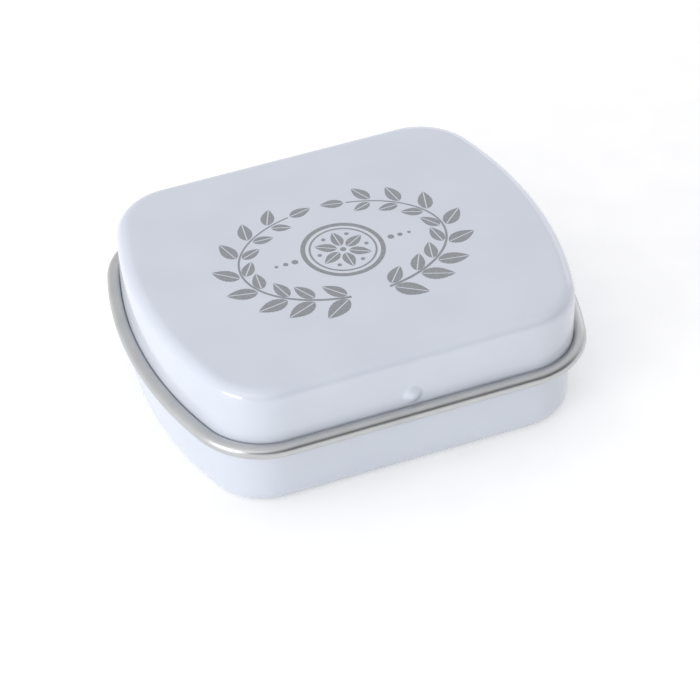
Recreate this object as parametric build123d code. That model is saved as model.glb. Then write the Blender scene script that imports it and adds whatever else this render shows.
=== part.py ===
from build123d import *
import os
from math import atan2, cos, degrees, radians, sin, sqrt

import numpy as np

# A small hinged mint tin of drawn tinplate, closed, with loose mints in it. Sizes in millimetres.
# X runs along the tin, Y from its front to its hinge, Z up. The origin is the middle of the
# footprint, on the surface that the tin stands on.

# The closed tin, over the lid's rolled edge
tin_length = 60.0
tin_width = 49.5
tin_height = 19.5
sheet = 0.23
bend_flat_angle = 30

# Plan of the lid's wall: straight long sides, bowed ends, round corners
end_bow_radius = 53.9
corner_radius = 8.7

# Lid: its edge is rolled outward into an open curl, a little flatter than round
lid_curl_radius = 0.97
lid_curl_half_height = 0.9
lid_curl_height = 10.3
lid_curl_angle = 305
lid_edge_radius = 1.8
lid_crown = 0.35
lid_crown_reach = 7.0

# Base: its rim is rolled inward, tight against the wall
wall_gap = 0.25
foot_reach = 2.0
foot_rise = 1.95
rim_curl_radius = 0.75
rim_curl_half_height = 0.7
rim_curl_angle = 200
panel_margin = 3.6
panel_rise = 0.35

# Hinge: the lid's two tongues hook under the edges of two slots in the back of the base
hinge_drop = 1.6
hinge_to_rim = 4.9
tongue_width = 7.0
tongue_spacing = 22.0
tongue_angle = 130
slot_side_gap = 0.3
slot_floor_gap = 0.17

# Snap: a pip pressed out of the lid's front, and a low one in the base behind it
lid_pip_radius = 1.45
lid_pip_height = 0.5
lid_pip_above_curl = 2.35
base_pip_radius = 0.7
base_pip_height = 0.11
base_pip_below_rim = 1.5

# Mints, tumbled into the base
mint_diameter = 7.6
mint_band = 1.9
mint_bevel_width = 0.9
mint_bevel_drop = 0.5
mint_sides = 24
mint_count = 8
mint_air = 0.03
pile_wall_air = 0.25
pile_cell_share = 1 / 30
pile_tries = 60
lean_limit = 38
level_share = 1e-9

# Worked out from the sizes above
lid_curl_stand = 2 * lid_curl_radius - sheet
lid_half_length = tin_length / 2 - lid_curl_stand
lid_half_width = tin_width / 2 - lid_curl_stand
bow_centre_x = lid_half_length - end_bow_radius
corner_centre_y = lid_half_width - corner_radius
corner_centre_x = bow_centre_x + sqrt((end_bow_radius - corner_radius) ** 2 - corner_centre_y ** 2)
bow_half_angle = degrees(atan2(corner_centre_y, corner_centre_x - bow_centre_x))
base_inset = sheet + wall_gap
hinge_y = lid_half_width - base_inset - sheet / 2
hinge_z = lid_curl_height - hinge_drop
hook_radius = lid_half_width - sheet - hinge_y
rim_height = hinge_z + hinge_to_rim
tongue_places = (-tongue_spacing / 2, tongue_spacing / 2)


def outline_arcs():
    """The arcs of the plan outline, counter-clockwise: centre, radius, first angle, turn."""
    corner_turn = 90 - bow_half_angle
    arcs = []
    for half_turn, way in ((0, 1), (180, -1)):
        bow_start = half_turn - bow_half_angle
        arcs.append((way * bow_centre_x, 0, end_bow_radius, bow_start, 2 * bow_half_angle))
        x, y = way * corner_centre_x, way * corner_centre_y
        arcs.append((x, y, corner_radius, half_turn + bow_half_angle, corner_turn))
        arcs.append((x, -y, corner_radius, half_turn - 90, corner_turn))
    return arcs


def plan(inset):
    """The plan outline as a face, inset from the outside of the lid's wall; its arcs keep their centres."""
    side = lid_half_width - inset
    edges = [CenterArc((x, y), radius - inset, start, turn) for x, y, radius, start, turn in outline_arcs()]
    edges += [Line((-corner_centre_x, y), (corner_centre_x, y)) for y in (-side, side)]
    return make_face(edges)


def carried_round(section):
    """Carries a wall section round the plan outline. Its x is counted outward from the lid's wall."""
    upright = Plane.XZ * section
    runs = []
    for x, y, radius, start, turn in outline_arcs():
        swept = revolve(Pos(radius, 0, 0) * upright, Axis.Z, turn)
        runs.append(Pos(x, y) * Rot(0, 0, start) * swept)
    straight = extrude(Plane.YZ * Pos(lid_half_width, 0) * section, corner_centre_x, both=True)
    runs += [straight, Rot(0, 0, 180) * straight]
    return runs[0] + runs[1:]


def bend(centre, half_width, half_height, start, turn):
    """Points along a bend in a section, on an oval round its centre, in flats of about the bend step."""
    flats = round(abs(turn) / bend_flat_angle)
    angles = [radians(start + turn * flat / flats) for flat in range(flats + 1)]
    return [(centre[0] + half_width * cos(angle), centre[1] + half_height * sin(angle)) for angle in angles]


def outlined(*points):
    """The section that a closed row of points bounds."""
    return make_face(Polyline(*points, close=True))


def pip(shell, wall_y, z, radius, height):
    """Presses a round pip outward through the front wall, whose outside is at wall_y."""
    ball_radius = (radius ** 2 + height ** 2) / (2 * height)
    middle = Pos(0, wall_y + ball_radius - height, z)
    front = Pos(0, wall_y - radius, z) * Box(4 * radius, 2 * radius, 4 * radius)
    return shell + (middle * Sphere(ball_radius) & front) - middle * Sphere(ball_radius - sheet)


def tongue():
    """One hinge tongue: the lid's wall carried down and hooked inward round the hinge line."""
    sides = []
    for radius in (hook_radius, hook_radius + sheet):
        sides.append([(radius, hinge_drop), *bend((0, 0), radius, radius, 0, -tongue_angle)])
    strip = extrude(Plane.YZ * outlined(*sides[0], *reversed(sides[1])), tongue_width / 2, both=True)
    return Pos(0, hinge_y, hinge_z) * strip


def lid_side(depth):
    """One side of the lid's sheet, depth in from its outside: sloping top, edge, wall and roll."""
    edge = lid_edge_radius - depth
    edge_middle = -lid_edge_radius, tin_height - lid_crown - lid_edge_radius
    roll = lid_curl_radius - sheet + depth, lid_curl_half_height - sheet + depth
    roll_middle = lid_curl_radius - sheet, lid_curl_height
    side = [(-lid_crown_reach, tin_height - depth)]
    side += bend(edge_middle, edge, edge, 90, -90)
    side += bend(roll_middle, *roll, 180, lid_curl_angle)
    return side


def lid():
    """The lid: a crowned pressing whose edge is rolled outward, with two hinge tongues and a pip."""
    shell = carried_round(outlined(*lid_side(0), *reversed(lid_side(sheet))))
    notch = Box(tongue_width + 2 * slot_side_gap, 4 * lid_curl_radius, 2 * lid_curl_radius)
    notch = Pos(0, lid_half_width + 2 * lid_curl_radius, lid_curl_height) * notch
    for x in tongue_places:
        shell = shell - Pos(x, 0, 0) * notch + Pos(x, 0, 0) * tongue()
    shell += Pos(0, 0, tin_height - sheet) * extrude(plan(lid_crown_reach), sheet)
    pip_z = lid_curl_height + lid_pip_above_curl
    return pip(shell, -lid_half_width, pip_z, lid_pip_radius, lid_pip_height)


def panel(inset):
    """The raised middle of the bottom: a low block on the plan outline with a sloping edge."""
    block = extrude(plan(inset), panel_rise)
    return chamfer(block.faces().sort_by(Axis.Z)[-1].edges(), panel_rise / 2)


def base_section():
    """The section of the base: round foot, wall, and a rim rolled inward until it meets the wall."""
    foot_middle = -base_inset - foot_reach, foot_rise
    wall_top = rim_height - rim_curl_half_height
    section = bend(foot_middle, foot_reach, foot_rise, 270, 90)
    roll_middle = -base_inset - rim_curl_radius, wall_top
    section += bend(roll_middle, rim_curl_radius, rim_curl_half_height, 0, rim_curl_angle)
    section.append((-base_inset - sheet, wall_top - rim_curl_half_height - sheet))
    section += reversed(bend(foot_middle, foot_reach - sheet, foot_rise - sheet, 270, 90))
    return outlined(*section)


def base():
    """The base: a drawn cup with a round foot, raised panel, rolled rim, hinge slots and a pip."""
    bottom = extrude(plan(base_inset + foot_reach), sheet)
    margin = base_inset + foot_reach + panel_margin
    bottom = bottom + Pos(0, 0, sheet) * panel(margin - sheet / 2) - panel(margin)
    shell = bottom + carried_round(base_section())
    slot_height = hook_radius + sheet + slot_floor_gap
    slot = Box(tongue_width + 2 * slot_side_gap, 4 * sheet, slot_height)
    for x in tongue_places:
        shell -= Pos(x, hinge_y, hinge_z - slot_height / 2) * slot
    pip_z = rim_height - base_pip_below_rim
    return pip(shell, base_inset - lid_half_width, pip_z, base_pip_radius, base_pip_height)


def mint():
    """One mint: a pressed tablet with a straight band and a bevel round each face, lying flat."""
    band = RegularPolygon(mint_diameter / 2, mint_sides)
    slope = degrees(atan2(mint_bevel_width, mint_bevel_drop))
    cap = extrude(Pos(0, 0, mint_band / 2) * band, mint_bevel_drop, taper=slope)
    return extrude(band, mint_band / 2, both=True) + cap + mirror(cap, Plane.XY)


def wall_distance(x, y):
    """How far points of the plan lie inside the base's wall."""
    across, along = np.abs(x), np.abs(y)
    inset = base_inset + sheet
    to_side = lid_half_width - inset - along
    to_end = end_bow_radius - inset - np.hypot(across - bow_centre_x, along)
    out_x, out_y = across - corner_centre_x, along - corner_centre_y
    lean = radians(bow_half_angle)
    at_corner = (out_x > 0) & (out_y * cos(lean) > out_x * sin(lean))
    to_corner = corner_radius - inset - np.hypot(out_x, out_y)
    return np.where(at_corner, to_corner, np.minimum(to_side, to_end))


def lean_of(ground, x, y, inside):
    """The upward unit normal of the plane that best fits the ground under a mint, within the lean limit."""
    table = np.column_stack([x[inside], y[inside], np.ones(inside.sum())])
    slope_x, slope_y, _ = np.linalg.lstsq(table, ground[inside], rcond=None)[0]
    steep = max(np.hypot(slope_x, slope_y) / np.tan(radians(lean_limit)), 1)
    normal = np.array([-slope_x / steep, -slope_y / steep, 1])
    return normal / np.linalg.norm(normal)


def span(x, y, normal):
    """Lowest and highest z of a leaning mint over each point of the plan, counted from its middle."""
    radius, half = mint_diameter / 2, mint_band / 2 + mint_bevel_drop
    flat = x * normal[0] + y * normal[1]
    between = (-half - flat) / normal[2], (half - flat) / normal[2]
    side = 1 - normal[2] ** 2
    if side < level_share:
        reach = np.where(np.hypot(x, y) < radius, half, -half)
        return -reach, reach
    middle = flat * normal[2] / side
    root = middle ** 2 - (x ** 2 + y ** 2 - flat ** 2 - radius ** 2) / side
    reach = np.sqrt(np.maximum(root, 0))
    low = np.maximum(between[0], middle - reach)
    high = np.minimum(between[1], middle + reach)
    gone = (root <= 0) | (low >= high)
    return np.where(gone, half, low), np.where(gone, -half, high)


def tumbled_mints():
    """Drops the mints one by one onto a grid of heights, each where it lies lowest of some tries."""
    cell = mint_diameter * pile_cell_share
    columns = np.arange(-lid_half_length, lid_half_length, cell)
    rows = np.arange(-lid_half_width, lid_half_width, cell)
    grid_x, grid_y = np.meshgrid(columns, rows, indexing="ij")
    inner_foot = foot_reach - sheet
    rise = np.clip(inner_foot - wall_distance(grid_x, grid_y), 0, inner_foot)
    floor = sheet + panel_rise * (wall_distance(grid_x, grid_y) > foot_reach + panel_margin - sheet)
    ground = floor + inner_foot - np.sqrt(inner_foot ** 2 - rise ** 2)
    reach = mint_diameter / 2 + pile_wall_air
    half = int(reach / cell) + 2
    golden_share = np.array([0.7548776662466927, 0.5698402909980532])
    places, step = [], 0
    while len(places) < mint_count:
        best = None
        for _ in range(pile_tries):
            step += 1
            share = (step * golden_share) % 1 - 0.5
            middle = share * [2 * lid_half_length, 2 * lid_half_width]
            if wall_distance(*middle) < reach:
                continue
            i, j = (np.searchsorted(columns, middle[0]), np.searchsorted(rows, middle[1]))
            patch = np.s_[i - half:i + half + 1, j - half:j + half + 1]
            x, y = grid_x[patch] - middle[0], grid_y[patch] - middle[1]
            normal = lean_of(ground[patch], x, y, np.hypot(x, y) < mint_diameter / 2)
            low, high = span(x, y, normal)
            under = high > low
            z = (ground[patch] - low)[under].max() + mint_air
            if best is None or z < best[0]:
                best = (z, middle, normal, patch, under, high)
        z, middle, normal, patch, under, high = best
        ground[patch] = np.where(under, np.maximum(ground[patch], z + high), ground[patch])
        places.append(Plane(origin=(*middle, z), z_dir=tuple(normal)))
    return places


os.makedirs("parts", exist_ok=True)
export_step(lid(), "parts/lid.step")
export_step(base(), "parts/base.step")
tablet = mint()
for number, place in enumerate(tumbled_mints(), 1):
    export_step(place * tablet, f"parts/mint_{number:02d}.step")
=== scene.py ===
from math import cos, radians, sin, sqrt, tan

import bmesh
import bpy
import numpy as np
from mathutils import Matrix, Vector


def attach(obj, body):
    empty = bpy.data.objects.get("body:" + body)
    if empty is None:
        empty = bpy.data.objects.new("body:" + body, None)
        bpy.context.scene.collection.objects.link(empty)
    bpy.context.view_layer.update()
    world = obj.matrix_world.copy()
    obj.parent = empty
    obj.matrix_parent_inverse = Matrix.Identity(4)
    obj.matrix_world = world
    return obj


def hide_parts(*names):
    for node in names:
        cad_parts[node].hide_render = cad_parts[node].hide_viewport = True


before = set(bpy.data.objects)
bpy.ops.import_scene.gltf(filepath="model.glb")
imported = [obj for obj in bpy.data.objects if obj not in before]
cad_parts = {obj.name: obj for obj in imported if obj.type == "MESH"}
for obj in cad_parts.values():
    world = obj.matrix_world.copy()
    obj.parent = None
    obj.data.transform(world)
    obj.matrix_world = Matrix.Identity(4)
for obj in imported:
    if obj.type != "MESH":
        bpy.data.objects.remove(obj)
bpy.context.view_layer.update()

# A white-coated tinplate mint tin, its mints, a printed ornament on its lid, and the studio.
# Lengths are in millimetres until a mesh is made, and named angles are in degrees. X runs along the tin,
# Y from front to hinge, Z up.
mm = 0.001

# The closed tin, over the lid's rolled edge, and its sheet
tin_length = 60.0
tin_width = 49.5
tin_height = 19.5
sheet = 0.23

# Plan of the lid's wall: straight long sides, bowed ends, round corners
end_bow_radius = 53.9
corner_radius = 8.7

# Lid
lid_curl_radius = 0.97
lid_curl_half_height = 0.97
lid_curl_height = 10.23
lid_curl_angle = 317
lid_curl_shave = 0.002
lid_edge_radius = 1.8
lid_crown = 0.35

# Base
wall_gap = 0.25
foot_reach = 2.0
foot_rise = 1.95
rim_curl_radius = 0.75
rim_curl_half_height = 0.7
rim_curl_angle = 290
panel_margin = 3.6
panel_rise = 0.35
panel_slope = 0.8

# Hinge
hinge_drop = 1.53
hinge_to_rim = 4.9
tongue_width = 7.0
tongue_spacing = 22.0
tongue_angle = 130
slot_side_gap = 0.3
slot_floor_gap = 0.17

# Snap pips
lid_pip_radius = 1.45
lid_pip_height = 0.5
lid_pip_above_curl = 2.42
base_pip_radius = 0.7
base_pip_height = 0.11
base_pip_below_rim = 1.5

# Mints, the first of them at the places of the frame's own
mint_diameter = 7.6
mint_band = 1.9
mint_face_rise = 0.5
mint_edge_radius = 0.16
framed_mints = 8
mint_count = 70
mint_air = 0.03
pile_wall_air = 0.25
pile_cell_share = 1 / 30
pile_tries = 60
lean_limit = 38
level_share = 1e-9
# Shares of the plan that never repeat, so that the tries fall evenly over it
try_shares = 0.7548776662466927, 0.5698402909980532

# Print on the lid. A leaf's share is of a full leaf, and the stem tapers from one share of the fine
# stroke to the other.
ink_lift = 0.012
stroke = 0.62
fine_stroke = 0.26
wreath_half_length = 14.2
wreath_half_width = 9.6
branch_start = -79
branch_finish = 73
branch_pairs = 8
stem_taper = 1.5, 0.8
leaf_length = 4.6
leaf_width = 2.3
leaf_spread = 42
leaf_start = 0.62
leaf_vein = 0.16
leaf_part = 0.001
leaf_saw = 0.1
leaf_shrink = 0.3
inner_leaf_share = 0.8
tip_leaf_share = 0.7
rosette_radius = 5.3
ring_spacing = 0.9
rosette_leaves = 6
rosette_leaf_length = 3.0
rosette_leaf_width = 1.5
rosette_leaf_start = 0.8
eye_radius = 0.42
seed_radius = 0.3
seed_inset = 2.0
side_dots = 3
side_dot_radius = 0.45
side_dot_shrink = 0.1
side_dot_start = 1.5
side_dot_spacing = 1.3

# Meshes: steps in millimetres, or in degrees round an arc, and stops counted from end to end. The bow's
# step is the wall's, stretched.
wall_step = 1.3
bow_stretch = 1.6
short_step = 0.3
slot_step = 0.4
fine_step = 0.11
corner_step = 3
ring_step = 5
dot_step = 15
bend_stops = 40
crown_stops = 18
edge_stops = 14
foot_stops = 16
panel_stops = 10
middle_stops = 8
leg_stops = 10
mint_turn_stops = 48
mint_face_stops = 9
mint_first_stop = 0.15
stem_stops = 60
leaf_stops = 17
leaf_side_stops = 3
floor_turn_stops = 64
weld = 1e-4
crease_angle = 40

# Worked out from the sizes above
lid_curl_stand = 2 * lid_curl_radius - sheet
lid_half_length = tin_length / 2 - lid_curl_stand
lid_half_width = tin_width / 2 - lid_curl_stand
bow_centre_x = lid_half_length - end_bow_radius
corner_centre_y = lid_half_width - corner_radius
corner_centre_x = bow_centre_x + sqrt((end_bow_radius - corner_radius) ** 2 - corner_centre_y ** 2)
bow_half_angle = np.degrees(np.arctan2(corner_centre_y, corner_centre_x - bow_centre_x))
base_inset = sheet + wall_gap
half_sheet = sheet / 2
hinge_y = lid_half_width - base_inset - half_sheet
hinge_z = lid_curl_height - hinge_drop
hook_radius = lid_half_width - sheet - hinge_y
rim_height = hinge_z + hinge_to_rim
slot_half_width = tongue_width / 2 + slot_side_gap
slot_bottom = hinge_z - hook_radius - sheet - slot_floor_gap
lid_top = tin_height - 2 * ink_lift
lid_edge_top = tin_height - lid_crown
lid_pip_z = lid_curl_height + lid_pip_above_curl
base_pip_z = rim_height - base_pip_below_rim


# ---------------------------------------------------------------- shapes

def stops(first, last, step):
    """Evenly spaced values from first to last, both included, about a step apart."""
    return np.linspace(first, last, max(int(round(abs(last - first) / step)), 1) + 1)


def outline():
    """Foot points and outward normals round the lid's wall, counter-clockwise from the front's left end.

    A straight side's foot is (x, side). An arc's foot is centre + radius * (cos a, sin a), and its normal
    (cos a, sin a). Stops crowd at the pips in front and fall on the edges of the tongues and slots behind.
    """
    plain = stops(-corner_centre_x, corner_centre_x, wall_step)
    near = lid_pip_radius + fine_step
    front = np.union1d(plain[np.abs(plain) > near], stops(-near, near, fine_step))
    both = np.array([-1, 1])
    edges = both[:, None] * np.array([tongue_width / 2, slot_half_width])
    edges = (both[:, None, None] * tongue_spacing / 2 + edges).ravel()
    clear = np.abs(plain[:, None] - edges).min(axis=1) > slot_side_gap / 2
    back = np.union1d(plain[clear], edges)[::-1]
    feet, normals = [], []

    def side(x, y):
        feet.append(np.column_stack([x, np.full(len(x), y)])[:-1])
        normals.append(np.column_stack([np.zeros(len(x)), np.full(len(x), np.sign(y))])[:-1])

    def arc(x, y, radius, start, turn, step):
        angle = np.radians(stops(start, start + turn, step))[:-1]
        way = np.column_stack([np.cos(angle), np.sin(angle)])
        feet.append([x, y] + radius * way)
        normals.append(way)

    corner_turn = 90 - bow_half_angle
    bow_step = np.degrees(bow_stretch * wall_step / end_bow_radius)
    side(front, -lid_half_width)
    arc(corner_centre_x, -corner_centre_y, corner_radius, -90, corner_turn, corner_step)
    arc(bow_centre_x, 0, end_bow_radius, -bow_half_angle, 2 * bow_half_angle, bow_step)
    arc(corner_centre_x, corner_centre_y, corner_radius, bow_half_angle, corner_turn, corner_step)
    side(back, lid_half_width)
    arc(-corner_centre_x, corner_centre_y, corner_radius, 90, corner_turn, corner_step)
    arc(-bow_centre_x, 0, end_bow_radius, 180 - bow_half_angle, 2 * bow_half_angle, bow_step)
    arc(-corner_centre_x, -corner_centre_y, corner_radius, 180 + bow_half_angle, corner_turn, corner_step)
    return np.vstack(feet), np.vstack(normals)


# The outline's stops, and how far each stop behind, and the cell after it, lies from a tongue's middle.
# A stop that isn't behind counts as a tin's length away.
foot, normal = outline()
from_tongue = np.abs(np.abs(foot[:, 0]) - tongue_spacing / 2)
behind_offset = np.where(foot[:, 1] > corner_centre_y, from_tongue, tin_length)
cell_offset = (behind_offset + np.roll(behind_offset, -1)) / 2


def bend(centre_out, centre_z, radii, start, turn, count=bend_stops):
    """Points of a wall section on an oval: centre + (radii0 * cos a, radii1 * sin a)."""
    angle = np.radians(np.linspace(start, start + turn, count))
    return np.column_stack([centre_out + radii[0] * np.cos(angle), centre_z + radii[1] * np.sin(angle)])


def skins(section, share):
    """Outer and inner skin of the sheet carried round the outline, each an array of stop, point, xyz.

    The section holds (out, z) points on the sheet's middle line, one row of them per outline stop, and
    share shrinks a point's plan towards the middle of the tin. A skin lies half a sheet to its side of
    that line, along the section's own normal: (out, z) + or - half a sheet * (-dz, dout).
    """
    plan_out = (lid_half_width + section[..., 0]) * share
    along = np.stack([np.gradient(plan_out, axis=1), np.gradient(section[..., 1], axis=1)], axis=-1)
    along /= np.linalg.norm(along, axis=-1, keepdims=True)
    sideways = np.stack([-along[..., 1], along[..., 0]], axis=-1) * half_sheet

    def placed(points):
        plan = (foot[:, None] + normal[:, None] * points[..., :1]) * share[..., None]
        return np.concatenate([plan, points[..., 1:]], axis=-1)

    return placed(section + sideways), placed(section - sideways)


def pressed(skin, z, radius, height):
    """A round pip pressed out of the front wall: -y by height * (1 - (r / radius)^2)^1.5 within radius."""
    away = np.hypot(skin[..., 0], skin[..., 2] - z) / radius
    rise = height * np.clip(1 - away ** 2, 0, None) ** 1.5 * (skin[..., 1] < 0)
    return skin - rise[..., None] * [0, 1, 0]


def ring_corners(rows, columns):
    """Point numbers at each cell's four corners, in a grid whose rows close round on themselves."""
    number = np.arange(rows * columns).reshape(rows, columns)
    a, b = number[:, :-1], number[:, 1:]
    return a, b, np.roll(b, -1, axis=0), np.roll(a, -1, axis=0)


def ring_quads(rows, columns):
    """Every cell of such a grid as a quad."""
    return np.stack(ring_corners(rows, columns), axis=-1).reshape(-1, 4)


def sheet_faces(kept, pole=None):
    """Quads of a closed thin wall whose outer and inner grid have one cell per entry of kept.

    The rows close round on themselves. Point numbers count the outer grid row by row, then the inner one.
    The result is the outer skin's faces, the inner skin's, and the strips along every edge of what is
    kept. At a pole, the first or the last column, the skin runs to one point and needs no strip.
    """
    rows, columns = kept.shape[0], kept.shape[1] + 1
    a, b, c, d = ring_corners(rows, columns)
    inner = rows * columns

    def quads(where, *points):
        return np.stack([point[where] for point in points], axis=-1)

    before, after = np.zeros_like(kept), np.zeros_like(kept)
    before[:, 1:], after[:, :-1] = kept[:, :-1], kept[:, 1:]
    if pole == "first":
        before[:, 0] = True
    if pole == "last":
        after[:, -1] = True
    strips = [
        quads(kept & ~np.roll(kept, 1, axis=0), b, a, a + inner, b + inner),
        quads(kept & ~after, c, b, b + inner, c + inner),
        quads(kept & ~np.roll(kept, -1, axis=0), d, c, c + inner, d + inner),
        quads(kept & ~before, a, d, d + inner, a + inner),
    ]
    outer_faces = quads(kept, a, b, c, d)
    inner_faces = quads(kept, d, c, b, a) + inner
    return outer_faces, inner_faces, np.vstack(strips)


def new_piece(name, points, faces, materials, slots=None):
    """A smooth-shaded mesh object from points in millimetres and quads, its doubled points welded."""
    mesh = bpy.data.meshes.new(name)
    mesh.from_pydata(np.asarray(points, float).reshape(-1, 3) * mm, [], np.asarray(faces).tolist())
    for material in materials:
        mesh.materials.append(material)
    if slots is not None:
        mesh.polygons.foreach_set("material_index", np.asarray(slots, np.int32))
    work = bmesh.new()
    work.from_mesh(mesh)
    bmesh.ops.remove_doubles(work, verts=work.verts, dist=weld * mm)
    bmesh.ops.delete(work, geom=[vert for vert in work.verts if not vert.link_faces], context="VERTS")
    work.to_mesh(mesh)
    work.free()
    mesh.shade_smooth()
    mesh.set_sharp_from_angle(angle=radians(crease_angle))
    piece = bpy.data.objects.new(name, mesh)
    bpy.context.scene.collection.objects.link(piece)
    return piece


def sheet_piece(name, section, share, kept, pole, pip, outside, inside):
    """The pressed sheet of one section: coated outside, bare inside and along its cut edges."""
    outer, inner = (pressed(skin, *pip) for skin in skins(section, share))
    outer_faces, inner_faces, strips = sheet_faces(kept, pole)
    faces = np.vstack([outer_faces, inner_faces, strips])
    slots = np.repeat([0, 1, 1], [len(outer_faces), len(inner_faces), len(strips)])
    return new_piece(name, np.concatenate([outer, inner]), faces, [outside, inside], slots)


def lid_section():
    """The lid's middle line: crown, edge radius, wall, and the roll, which a hook replaces in a tongue.

    The crown's top is at z = lid_top - (lid_top - lid_edge_top) * share^2, with share 0 at the middle and
    1 at the edge radius. The roll is shaved a hair, because the frame's own roll is a row of flats and
    reaches less far out.
    """
    share = np.linspace(0, 1, crown_stops)[:-1]
    drop = lid_top - half_sheet - (lid_top - lid_edge_top) * share ** 2
    crown = np.column_stack([np.full(len(share), -lid_edge_radius), drop])
    edge_radii = (lid_edge_radius - half_sheet,) * 2
    edge = bend(-lid_edge_radius, lid_edge_top - lid_edge_radius, edge_radii, 90, -90, edge_stops)
    pip_top, pip_low = lid_pip_z + lid_pip_radius, lid_pip_z - lid_pip_radius
    wall_z = np.concatenate([stops(edge[-1, 1], pip_top, wall_step)[1:-1],
                             stops(pip_top, pip_low, fine_step),
                             stops(pip_low, lid_curl_height, short_step)[1:-1]])
    wall = np.column_stack([np.full(len(wall_z), -half_sheet), wall_z])
    roll_radii = lid_curl_radius - half_sheet - lid_curl_shave, lid_curl_half_height - half_sheet
    roll = bend(lid_curl_radius - sheet, lid_curl_height, roll_radii, 180, lid_curl_angle)
    leg_z = np.linspace(lid_curl_height, hinge_z, leg_stops)[:-1]
    leg = np.column_stack([np.full(len(leg_z), -half_sheet), leg_z])
    hook_out, hook_radii = hinge_y - lid_half_width, (hook_radius + half_sheet,) * 2
    hook = bend(hook_out, hinge_z, hook_radii, 0, -tongue_angle, bend_stops - len(leg_z))
    upper = np.vstack([crown, edge, wall])
    rolled, tongued = np.vstack([upper, roll]), np.vstack([upper, leg, hook])
    in_tongue = behind_offset < tongue_width / 2 + slot_side_gap / 2
    section = np.where(in_tongue[:, None, None], tongued, rolled)
    shares = np.ones(section.shape[:2])
    shares[:, :len(share)] = share
    kept = np.ones((len(foot), section.shape[1] - 1), bool)
    between = (cell_offset > tongue_width / 2) & (cell_offset < slot_half_width)
    kept[between, len(upper):] = False
    return section, shares, kept


def base_section():
    """The base's middle line: rim rolled inward, wall, foot, and a bottom whose panel rises in a soft step.

    The panel's z is panel_rise * s * s * (3 - 2 s), with s from 0 to 1 over its slope.
    """
    wall_out = -base_inset - half_sheet
    rim_radii = rim_curl_radius - half_sheet, rim_curl_half_height - half_sheet
    rim_z = rim_height - rim_curl_half_height
    rim = bend(-base_inset - rim_curl_radius, rim_z, rim_radii, rim_curl_angle, -rim_curl_angle)
    pip_top, pip_low = base_pip_z + base_pip_radius, base_pip_z - base_pip_radius
    wall_z = np.concatenate([stops(pip_top, pip_low, fine_step), stops(pip_low, hinge_z, wall_step)[1:],
                             stops(hinge_z, slot_bottom, slot_step)[1:],
                             stops(slot_bottom, foot_rise, wall_step)[1:-1]])
    wall = np.column_stack([np.full(len(wall_z), wall_out), wall_z])
    foot_radii = foot_reach - half_sheet, foot_rise - half_sheet
    round_foot = bend(-base_inset - foot_reach, foot_rise, foot_radii, 0, -90, foot_stops)
    step = np.linspace(0, 1, panel_stops)
    step_start = base_inset + foot_reach + panel_margin - panel_slope / 2
    flat = stops(base_inset + foot_reach, step_start, wall_step)[1:-1]
    ring = np.column_stack([-flat, np.full(len(flat), half_sheet)])
    panel = np.column_stack([-step_start - panel_slope * step,
                             half_sheet + panel_rise * step * step * (3 - 2 * step)])
    share = np.linspace(1, 0, middle_stops)[1:]
    middle = np.repeat(panel[-1:], len(share), axis=0)
    line = np.vstack([rim, wall, round_foot, ring, panel, middle])
    section = np.broadcast_to(line, (len(foot), *line.shape))
    shares = np.ones(section.shape[:2])
    shares[:, -len(share):] = share
    kept = np.ones((len(foot), len(line) - 1), bool)
    between_z = (line[:-1, 1] + line[1:, 1]) / 2
    on_wall = np.isclose(line[:-1, 0], wall_out) & np.isclose(line[1:, 0], wall_out)
    slot_columns = on_wall & (between_z > slot_bottom) & (between_z < hinge_z)
    kept[np.ix_(cell_offset < slot_half_width, slot_columns)] = False
    return section, shares, kept


# ---------------------------------------------------------------- mints

def wall_distance(x, y):
    """How far points of the plan lie inside the base's wall."""
    across, along = np.abs(x), np.abs(y)
    inset = base_inset + sheet
    to_side = lid_half_width - inset - along
    to_end = end_bow_radius - inset - np.hypot(across - bow_centre_x, along)
    out_x, out_y = across - corner_centre_x, along - corner_centre_y
    lean = radians(bow_half_angle)
    at_corner = (out_x > 0) & (out_y * cos(lean) > out_x * sin(lean))
    to_corner = corner_radius - inset - np.hypot(out_x, out_y)
    return np.where(at_corner, to_corner, np.minimum(to_side, to_end))


def lean_of(ground, x, y, inside):
    """The upward unit normal of the plane that best fits the ground under a mint, within the lean limit."""
    table = np.column_stack([x[inside], y[inside], np.ones(inside.sum())])
    slope_x, slope_y, _ = np.linalg.lstsq(table, ground[inside], rcond=None)[0]
    steep = max(np.hypot(slope_x, slope_y) / tan(radians(lean_limit)), 1)
    upward = np.array([-slope_x / steep, -slope_y / steep, 1])
    return upward / np.linalg.norm(upward)


def span(x, y, upward):
    """Lowest and highest z of a leaning mint over each point of the plan, counted from its middle."""
    radius, half = mint_diameter / 2, mint_band / 2 + mint_face_rise
    flat = x * upward[0] + y * upward[1]
    between = (-half - flat) / upward[2], (half - flat) / upward[2]
    side = 1 - upward[2] ** 2
    if side < level_share:
        reach = np.where(np.hypot(x, y) < radius, half, -half)
        return -reach, reach
    middle = flat * upward[2] / side
    root = middle ** 2 - (x ** 2 + y ** 2 - flat ** 2 - radius ** 2) / side
    reach = np.sqrt(np.maximum(root, 0))
    low = np.maximum(between[0], middle - reach)
    high = np.minimum(between[1], middle + reach)
    gone = (root <= 0) | (low >= high)
    return np.where(gone, half, low), np.where(gone, -half, high)


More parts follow.
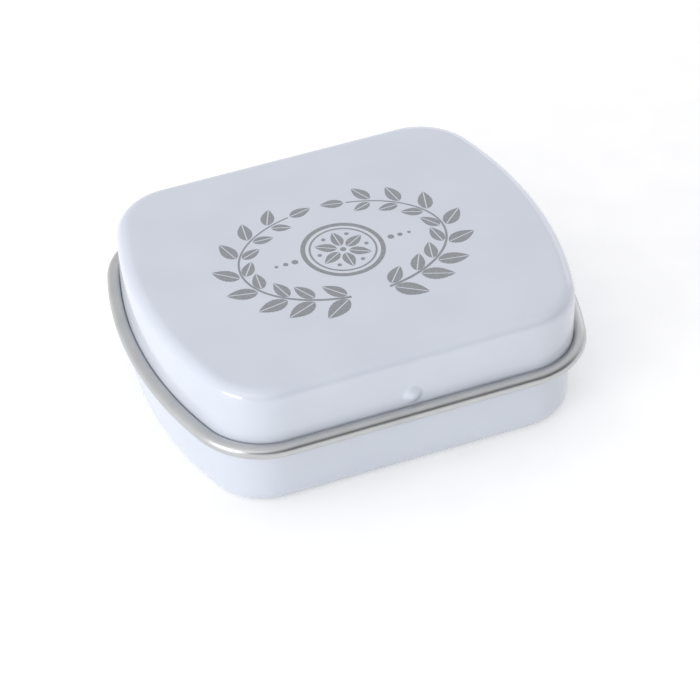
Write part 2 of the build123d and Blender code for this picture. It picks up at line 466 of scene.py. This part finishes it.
def tumbled_mints():
    """Middles and upward normals of mints dropped one by one, each where it lies lowest of some tries."""
    cell = mint_diameter * pile_cell_share
    columns = np.arange(-lid_half_length, lid_half_length, cell)
    rows = np.arange(-lid_half_width, lid_half_width, cell)
    grid_x, grid_y = np.meshgrid(columns, rows, indexing="ij")
    inner_foot = foot_reach - sheet
    rise = np.clip(inner_foot - wall_distance(grid_x, grid_y), 0, inner_foot)
    floor = sheet + panel_rise * (wall_distance(grid_x, grid_y) > foot_reach + panel_margin - sheet)
    ground = floor + inner_foot - np.sqrt(inner_foot ** 2 - rise ** 2)
    reach = mint_diameter / 2 + pile_wall_air
    half = int(reach / cell) + 2
    places, step = [], 0
    while len(places) < mint_count:
        best = None
        for _ in range(pile_tries):
            step += 1
            share = (step * np.array(try_shares)) % 1 - 0.5
            middle = share * [2 * lid_half_length, 2 * lid_half_width]
            if wall_distance(*middle) < reach:
                continue
            i, j = np.searchsorted(columns, middle[0]), np.searchsorted(rows, middle[1])
            patch = np.s_[i - half:i + half + 1, j - half:j + half + 1]
            x, y = grid_x[patch] - middle[0], grid_y[patch] - middle[1]
            upward = lean_of(ground[patch], x, y, np.hypot(x, y) < mint_diameter / 2)
            low, high = span(x, y, upward)
            under = high > low
            z = (ground[patch] - low)[under].max() + mint_air
            if best is None or z < best[0]:
                best = (z, middle, upward, patch, under, high)
        z, middle, upward, patch, under, high = best
        ground[patch] = np.where(under, np.maximum(ground[patch], z + high), ground[patch])
        places.append(((*middle, z), upward))
    return places


def mint_grid():
    """One mint about the origin, as a grid of turn and profile, from one face's middle to the other's.

    A face is a shallow dome, z = shoulder + rise * (1 - (r / R)^2). From its shoulder, at r = R, a quarter
    round of edge radius e meets the band: (R + e * cos a, shoulder - e * (1 - sin a)).
    """
    edge, shoulder = mint_diameter / 2 - mint_edge_radius, (mint_band - mint_edge_radius) / 2
    radius = np.concatenate([[0], np.linspace(mint_first_stop, 1, mint_face_stops) * edge])
    height = shoulder + mint_face_rise * (1 - (radius / edge) ** 2)
    angle = np.radians([60, 30, 0])
    radius = np.concatenate([radius, edge + mint_edge_radius * np.cos(angle)])
    height = np.concatenate([height, shoulder - mint_edge_radius * (1 - np.sin(angle))])
    radius, height = np.concatenate([radius, radius[::-1]]), np.concatenate([height, -height[::-1]])
    turn = np.linspace(0, 2 * np.pi, mint_turn_stops, endpoint=False)[:, None]
    return np.stack([radius * np.cos(turn), radius * np.sin(turn), height + 0 * turn], axis=-1)


def mint_piece(name, places, material):
    """Mints at their places: each grid turned so that its own z lies along its upward normal."""
    grid = mint_grid()
    middles, upward = (np.array(values) for values in zip(*places))
    sideways = np.cross([0.0, 1.0, 0.0], upward)
    sideways /= np.linalg.norm(sideways, axis=1, keepdims=True)
    axes = np.stack([sideways, np.cross(upward, sideways), upward], axis=1)
    points = np.einsum("rcv,mvk->mrck", grid, axes) + middles[:, None, None]
    rows, columns = grid.shape[:2]
    first = np.arange(len(places))[:, None, None] * rows * columns
    faces = (ring_quads(rows, columns) + first).reshape(-1, 4)
    return new_piece(name, points, faces, [material])


# ---------------------------------------------------------------- printed ornament

def crown_z(x, y):
    """The lid's top over a point of the plan: top - drop * (distance / distance of the edge that way)^2."""
    ring = foot - lid_edge_radius * normal
    turn = np.arctan2(ring[:, 1], ring[:, 0])
    reach = np.interp(np.arctan2(y, x), turn, np.hypot(ring[:, 0], ring[:, 1]), period=2 * np.pi)
    return lid_top - (lid_top - lid_edge_top) * (np.hypot(x, y) / reach) ** 2


def ribbon(line, width):
    """A flat band along a line of points: line + or - half its width along the line's left normal."""
    along = np.gradient(line, axis=0)
    along /= np.linalg.norm(along, axis=1, keepdims=True)
    left = np.column_stack([-along[:, 1], along[:, 0]]) * np.reshape(width, (-1, 1)) / 2
    return np.stack([line + left, line - left], axis=1)


def leaf_halves(base, heading, length, width):
    """The two halves of a mint leaf, its vein left bare between them, a hair apart even at the tips.

    At share t of its length the leaf reaches width / 2 * sin(pi t^0.8)^0.8 * (1 + a small saw) to a side.
    """
    t = np.linspace(0, 1, leaf_stops)
    saw = leaf_saw * (1 - np.mod((leaf_stops - 1) / 2 * t, 1))
    reach = width / 2 * np.sin(np.pi * t ** 0.8).clip(0) ** 0.8 * (1 + saw)
    vein = np.minimum(leaf_vein / 2, reach / 2) + leaf_part
    reach = reach + leaf_part
    ahead, left = np.array([cos(heading), sin(heading)]), np.array([-sin(heading), cos(heading)])
    middle = np.asarray(base) + t[:, None] * length * ahead
    halves = (reach, vein), (-vein, -reach)
    offsets = [np.linspace(first, last, leaf_side_stops, axis=1) for first, last in halves]
    return [middle[:, None] + offset[..., None] * left for offset in offsets]


def ring(radius, width):
    """A round stroke about the middle, which closes on itself: (radius -+ width / 2) * (cos a, sin a)."""
    angle = np.radians(stops(0, 360, ring_step))[:-1]
    way = np.column_stack([np.cos(angle), np.sin(angle)])
    return np.stack([way * (radius - width / 2), way * (radius + width / 2)], axis=1)


def dot(centre, radius):
    """A filled dot: a band along x whose half width is radius * sin a where its x is radius * cos a."""
    angle = np.radians(stops(180, 0, dot_step))
    line = np.asarray(centre) + np.column_stack([radius * np.cos(angle), np.zeros(len(angle))])
    return ribbon(line, 2 * radius * np.sin(angle))


def branch(way):
    """One half of the wreath: a stem on an oval from the front's middle, with paired leaves up it."""
    angle = np.radians(np.linspace(branch_start, branch_finish, stem_stops))
    stem = np.column_stack([way * wreath_half_length * np.cos(angle), wreath_half_width * np.sin(angle)])
    parts = [ribbon(stem, fine_stroke * np.linspace(*stem_taper, stem_stops))]
    along = np.gradient(stem, axis=0)
    heading = np.arctan2(along[:, 1], along[:, 0])
    run = np.concatenate([[0], np.cumsum(np.hypot(*np.diff(stem, axis=0).T))])

    def leaf(at, turn, start, size):
        clear = start * np.array([cos(heading[at] + turn), sin(heading[at] + turn)])
        return leaf_halves(stem[at] + clear, heading[at] + turn, leaf_length * size, leaf_width * size)

    for number in range(branch_pairs):
        share = number / branch_pairs
        at = np.searchsorted(run, share * run[-1])
        for side in (1, -1):
            size = (1 - leaf_shrink * share) * (inner_leaf_share if side == way else 1)
            parts += leaf(at, side * radians(leaf_spread), leaf_start, size)
    return parts + leaf(-1, 0, leaf_start / 2, tip_leaf_share)


def rosette():
    """The middle of the ornament: leaves about a dot, dots between them, and three more to each side."""
    parts = [dot((0, 0), eye_radius)]
    seed_reach, pitch = rosette_radius - seed_inset, 2 * np.pi / rosette_leaves
    for heading in pitch * (np.arange(rosette_leaves) + 0.5):
        base = rosette_leaf_start * cos(heading), rosette_leaf_start * sin(heading)
        parts += leaf_halves(base, heading, rosette_leaf_length, rosette_leaf_width)
        between = heading + pitch / 2
        parts.append(dot((seed_reach * cos(between), seed_reach * sin(between)), seed_radius))
    for way in (1, -1):
        for number in range(side_dots):
            x = rosette_radius + side_dot_start + side_dot_spacing * number
            parts.append(dot((way * x, 0), side_dot_radius - side_dot_shrink * number))
    return parts


def printed_ornament(material):
    """The ornament as thin closed slips on the crown, half their thickness sunk in it. Only rings close."""
    points, faces, count = [], [], 0
    rings = [ring(rosette_radius, stroke), ring(rosette_radius - ring_spacing, fine_stroke)]
    for number, part in enumerate(rings + rosette() + branch(1) + branch(-1)):
        z = crown_z(part[..., 0], part[..., 1])[..., None]
        outer, inner = (np.concatenate([part, z + lift], axis=-1) for lift in (ink_lift, -ink_lift))
        kept = np.ones((part.shape[0], part.shape[1] - 1), bool)
        kept[-1] = number < len(rings)
        points += [outer.reshape(-1, 3), inner.reshape(-1, 3)]
        faces.append(np.vstack(sheet_faces(kept)) + count)
        count += 2 * part.shape[0] * part.shape[1]
    return new_piece("lid_ornament", np.vstack(points), np.vstack(faces), [material])


# ---------------------------------------------------------------- materials

def linear(code):
    """A linear colour with alpha from an sRGB hex code."""
    channels = [int(code[start:start + 2], 16) / 255 for start in (1, 3, 5)]
    return (*[c / 12.92 if c <= 0.04045 else ((c + 0.055) / 1.055) ** 2.4 for c in channels], 1)


def add(tree, kind, inputs=(), **settings):
    """Adds a node with its settings; an input is either a value or another node's output to link."""
    node = tree.nodes.new(kind)
    for name, value in settings.items():
        setattr(node, name, value)
    for name, value in dict(inputs).items():
        if isinstance(value, bpy.types.NodeSocket):
            tree.links.new(value, node.inputs[name])
        else:
            node.inputs[name].default_value = value
    return node


def blank(name):
    """A new material, its empty node tree, and an output node."""
    material = bpy.data.materials.new(name)
    material.use_nodes = True
    material.node_tree.nodes.clear()
    return material, material.node_tree, material.node_tree.nodes.new("ShaderNodeOutputMaterial")


def pattern(tree, size, detail, stretch=(1, 1, 1)):
    """Noise on object coordinates, its grain about size millimetres, drawn out along an axis by stretch."""
    place = add(tree, "ShaderNodeTexCoord").outputs["Object"]
    scale = tuple(1 / share for share in stretch)
    place = add(tree, "ShaderNodeMapping", {"Vector": place, "Scale": scale}).outputs[0]
    noise = add(tree, "ShaderNodeTexNoise", {"Vector": place, "Scale": 1 / (size * mm), "Detail": detail})
    return noise.outputs["Fac"]


def tone(tree, factor, dark, light):
    """A colour from dark to light as the factor goes from 0.3 to 0.7."""
    ramp = add(tree, "ShaderNodeValToRGB", {"Fac": factor})
    for end, position, code in zip(ramp.color_ramp.elements, (0.3, 0.7), (dark, light)):
        end.position, end.color = position, linear(code)
    return ramp.outputs["Color"]


def value_range(tree, factor, low, high):
    """The factor's middle half spread from low to high."""
    settings = {"Value": factor, "From Min": 0.25, "From Max": 0.75, "To Min": low, "To Max": high}
    return add(tree, "ShaderNodeMapRange", settings).outputs["Result"]


# The clear varnish that covers the enamel and the ink: smooth, with a plain mirror gloss over their own.
varnish = {"Coat Weight": 1.0, "Coat Roughness": 0.06, "Coat IOR": 1.5, "IOR": 1.5}


# White polyester enamel rolled onto the sheet and stoved under a clear varnish, before it is drawn.
# It gives an even, cool white with a soft sheen, and a faint orange peel that breaks up reflections.
def stoved_enamel():
    material, tree, out = blank("stoved_white_enamel")
    cloud = pattern(tree, 9, 1)
    peel = pattern(tree, 0.9, 2)
    bump = add(tree, "ShaderNodeBump", {"Height": peel, "Strength": 1.0, "Distance": 0.0015 * mm})
    shader = add(tree, "ShaderNodeBsdfPrincipled", {
        "Base Color": tone(tree, cloud, "#D5DBE6", "#D9DFE9"),
        "Roughness": value_range(tree, pattern(tree, 3, 2), 0.38, 0.46),
        "Normal": bump.outputs["Normal"], **varnish})
    tree.links.new(shader.outputs["BSDF"], out.inputs["Surface"])
    return material


# Bare electrolytic tinplate, flow-melted: a bright grey metal with fine lines along the rolling.
# Its lines are about a hundredth of a millimetre and are drawn 0.16 mm wide, so that they show.
def rolled_tin():
    material, tree, out = blank("bare_tinplate")
    lines = pattern(tree, 0.16, 2, (40, 1, 1))
    cloud = pattern(tree, 5, 2)
    bump = add(tree, "ShaderNodeBump", {"Height": lines, "Strength": 1.0, "Distance": 0.001 * mm})
    shader = add(tree, "ShaderNodeBsdfPrincipled", {
        "Base Color": tone(tree, cloud, "#C3C4C4", "#CBCCCC"), "Metallic": 1.0,
        "Roughness": value_range(tree, lines, 0.33, 0.39), "Normal": bump.outputs["Normal"]})
    tree.links.new(shader.outputs["BSDF"], out.inputs["Surface"])
    return material


# Grey offset ink under the varnish: a flat mid grey whose density wavers a little, as sheet printing does.
def offset_ink():
    material, tree, out = blank("grey_offset_ink")
    density = pattern(tree, 0.35, 3)
    shader = add(tree, "ShaderNodeBsdfPrincipled", {
        "Base Color": tone(tree, density, "#84888D", "#92969B"),
        "Roughness": value_range(tree, pattern(tree, 3, 2), 0.38, 0.46),
        **varnish})
    tree.links.new(shader.outputs["BSDF"], out.inputs["Surface"])
    return material


# Pressed sugar mint: a chalky white tablet, its grain about 0.1 mm and drawn 0.3 mm so that it shows.
# Light goes a little way into it. Its faces are smoother than its band, but here its roughness wavers only
# with the grain.
def pressed_sugar():
    material, tree, out = blank("pressed_sugar_mint")
    grain = pattern(tree, 0.3, 3)
    bump = add(tree, "ShaderNodeBump", {"Height": grain, "Strength": 1.0, "Distance": 0.012 * mm})
    shader = add(tree, "ShaderNodeBsdfPrincipled", {
        "Base Color": tone(tree, pattern(tree, 1.4, 3), "#EDEFED", "#F5F6F4"),
        "Roughness": value_range(tree, grain, 0.42, 0.62), "Subsurface Weight": 0.2,
        "Subsurface Radius": (0.9 * mm, 0.9 * mm, 0.8 * mm), "Subsurface Scale": 1.0, "IOR": 1.5,
        "Normal": bump.outputs["Normal"]})
    tree.links.new(shader.outputs["BSDF"], out.inputs["Surface"])
    return material


# ---------------------------------------------------------------- the tin

enamel, tin, ink, sugar = stoved_enamel(), rolled_tin(), offset_ink(), pressed_sugar()

lid_pip = lid_pip_z, lid_pip_radius, lid_pip_height
lid_shell = sheet_piece("lid_shell", *lid_section(), "first", lid_pip, enamel, tin)
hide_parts("lid")
base_pip = base_pip_z, base_pip_radius, base_pip_height
base_shell = sheet_piece("base_shell", *base_section(), "last", base_pip, enamel, tin)
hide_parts("base")
ornament = printed_ornament(ink)
for piece, body in ((lid_shell, "tin_lid"), (ornament, "tin_lid"), (base_shell, "tin_base")):
    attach(piece, body)

places = tumbled_mints()
mints = [mint_piece("mint_heap", places[framed_mints:], sugar)]
for number in range(framed_mints):
    mints.append(mint_piece(f"mint_{number + 1:02d}_tablet", places[number:number + 1], sugar))
    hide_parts(f"mint_{number + 1:02d}")
for piece in mints:
    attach(piece, "tin_base")


# ---------------------------------------------------------------- studio

# Camera: found by fitting the tin's outline in the photograph. Angles in degrees, lengths in mm.
view_azimuth = -21.8
view_elevation = 39.48
view_roll = -0.92
view_distance = 444.3
view_target_z = 10.3
picture_size = 700
pixels_per_mm = 7.527
target_pixel = 343.95, 303.2
sensor = 36.0

# Floor and light
floor_reaches = 0.0, 60.0, 200.0, 700.0, 2400.0
floor_lift = 0.26
lamp_distance = 650
air_level = 0.81
air_front = (0.2, -0.98, 0)
air_front_share = 0.7
air_low = 0.35
air_rise = 0.8
air_left = (-0.9, -0.35, 0.25)
air_side = 0.2


def photo_camera():
    """The camera at view_distance from a point over the origin, rolled about its own line of sight."""
    azimuth, elevation = radians(view_azimuth), radians(view_elevation)
    back = Vector((sin(azimuth) * cos(elevation), -cos(azimuth) * cos(elevation), sin(elevation)))
    level = Vector((cos(azimuth), sin(azimuth), 0))
    turn = Matrix.Rotation(radians(view_roll), 3, back)
    right, up = turn @ level, turn @ back.cross(level)
    data = bpy.data.cameras.new("photo_camera")
    data.sensor_width = sensor
    data.lens = pixels_per_mm * view_distance / picture_size * sensor
    data.shift_x = (picture_size / 2 - target_pixel[0]) / picture_size
    data.shift_y = (target_pixel[1] - picture_size / 2) / picture_size
    data.clip_start, data.clip_end = 0.01, 10
    camera = bpy.data.objects.new("photo_camera", data)
    bpy.context.scene.collection.objects.link(camera)
    pose = Matrix((right, up, back)).transposed().to_4x4()
    pose.translation = (Vector((0, 0, view_target_z)) + back * view_distance) * mm
    camera.matrix_world = pose
    bpy.context.scene.camera = camera


def soft_box(name, turn, rise, width, height, power, mirrored=True):
    """An oblong area lamp facing the tin from lamp_distance; turn is degrees to the left of the front.

    Its place is distance * (-sin turn cos rise, -cos turn cos rise, sin rise). Sizes in mm, power in watts.
    A lamp that isn't mirrored lights the tin without showing in its gloss.
    """
    turn, rise = radians(turn), radians(rise)
    way = Vector((-sin(turn) * cos(rise), -cos(turn) * cos(rise), sin(rise)))
    data = bpy.data.lights.new(name, "AREA")
    data.shape, data.size, data.size_y, data.energy = "RECTANGLE", width * mm, height * mm, power
    lamp = bpy.data.objects.new(name, data)
    bpy.context.scene.collection.objects.link(lamp)
    lamp.location = way * lamp_distance * mm
    lamp.rotation_euler = way.to_track_quat("Z", "Y").to_euler()
    lamp.visible_glossy = mirrored


def pale_floor():
    """A wide round floor under the tin, at z = 0, of matt white paper.

    It glows a little to the camera and in reflections, by floor_lift, which takes it to white there.
    """
    material, tree, out = blank("matt_white_paper")
    fibre = pattern(tree, 6, 3)
    paper = add(tree, "ShaderNodeBsdfDiffuse", {"Color": tone(tree, fibre, "#F4F4F4", "#F8F8F8")})
    path = add(tree, "ShaderNodeLightPath")
    either = {0: path.outputs["Is Camera Ray"], 1: path.outputs["Is Glossy Ray"]}
    seen = add(tree, "ShaderNodeMath", either, operation="MAXIMUM")
    lift = add(tree, "ShaderNodeMath", {0: seen.outputs[0], 1: floor_lift}, operation="MULTIPLY")
    glow = add(tree, "ShaderNodeEmission", {"Color": (1, 1, 1, 1), "Strength": lift.outputs[0]})
    both = add(tree, "ShaderNodeAddShader", {0: paper.outputs[0], 1: glow.outputs[0]})
    tree.links.new(both.outputs[0], out.inputs["Surface"])
    turn = np.linspace(0, 2 * np.pi, floor_turn_stops, endpoint=False)[:, None]
    reach = np.array(floor_reaches)
    points = np.stack([reach * np.cos(turn), reach * np.sin(turn), 0 * (reach + turn)], axis=-1)
    floor = new_piece("floor", points, ring_quads(turn.size, reach.size), [material])


def studio_air():
    """The world: a pale studio, brighter to the left, dark low down in front of the tin.

    Strength = level * (1 + side * share facing air_left) * (1 - share facing air_front * dip), where the
    dip is 1 up to z = air_low and falls to 0 at z = air_rise.
    """
    world = bpy.data.worlds.new("studio")
    bpy.context.scene.world = world
    world.use_nodes = True
    tree = world.node_tree
    tree.nodes.clear()
    way = add(tree, "ShaderNodeTexCoord").outputs["Generated"]

    def spread(value, first, last, low, high):
        settings = {"Value": value, "From Min": first, "From Max": last, "To Min": low, "To Max": high}
        return add(tree, "ShaderNodeMapRange", settings, interpolation_type="SMOOTHSTEP").outputs["Result"]

    def facing(direction):
        product = add(tree, "ShaderNodeVectorMath", {0: way, 1: direction}, operation="DOT_PRODUCT")
        return product.outputs["Value"]

    def times(first, second):
        return add(tree, "ShaderNodeMath", {0: first, 1: second}, operation="MULTIPLY").outputs[0]

    dip = spread(add(tree, "ShaderNodeSeparateXYZ", {0: way}).outputs["Z"], air_low, air_rise, 1, 0)
    dark = times(dip, spread(facing(air_front), 0, air_front_share, 0, 1))
    lit = add(tree, "ShaderNodeMath", {0: 1.0, 1: dark}, operation="SUBTRACT").outputs[0]
    level = spread(facing(air_left), 0, 1, air_level, air_level * (1 + air_side))
    glow = add(tree, "ShaderNodeBackground", {"Color": linear("#FCFCFF"), "Strength": times(lit, level)})
    out = tree.nodes.new("ShaderNodeOutputWorld")
    tree.links.new(glow.outputs[0], out.inputs["Surface"])


photo_camera()
studio_air()
pale_floor()
soft_box("left_window", 66, 13, 340, 130, 1.3)
soft_box("front_left_sheet", 30, 35, 400, 300, 0.3)
soft_box("right_sheet", -138, 14, 500, 260, 0.3)
soft_box("left_fill", 100, 12, 600, 150, 0.3, mirrored=False)
soft_box("front_fill", -10, 3, 600, 80, 0.75, mirrored=False)

bpy.context.scene.view_settings.view_transform = "Standard"
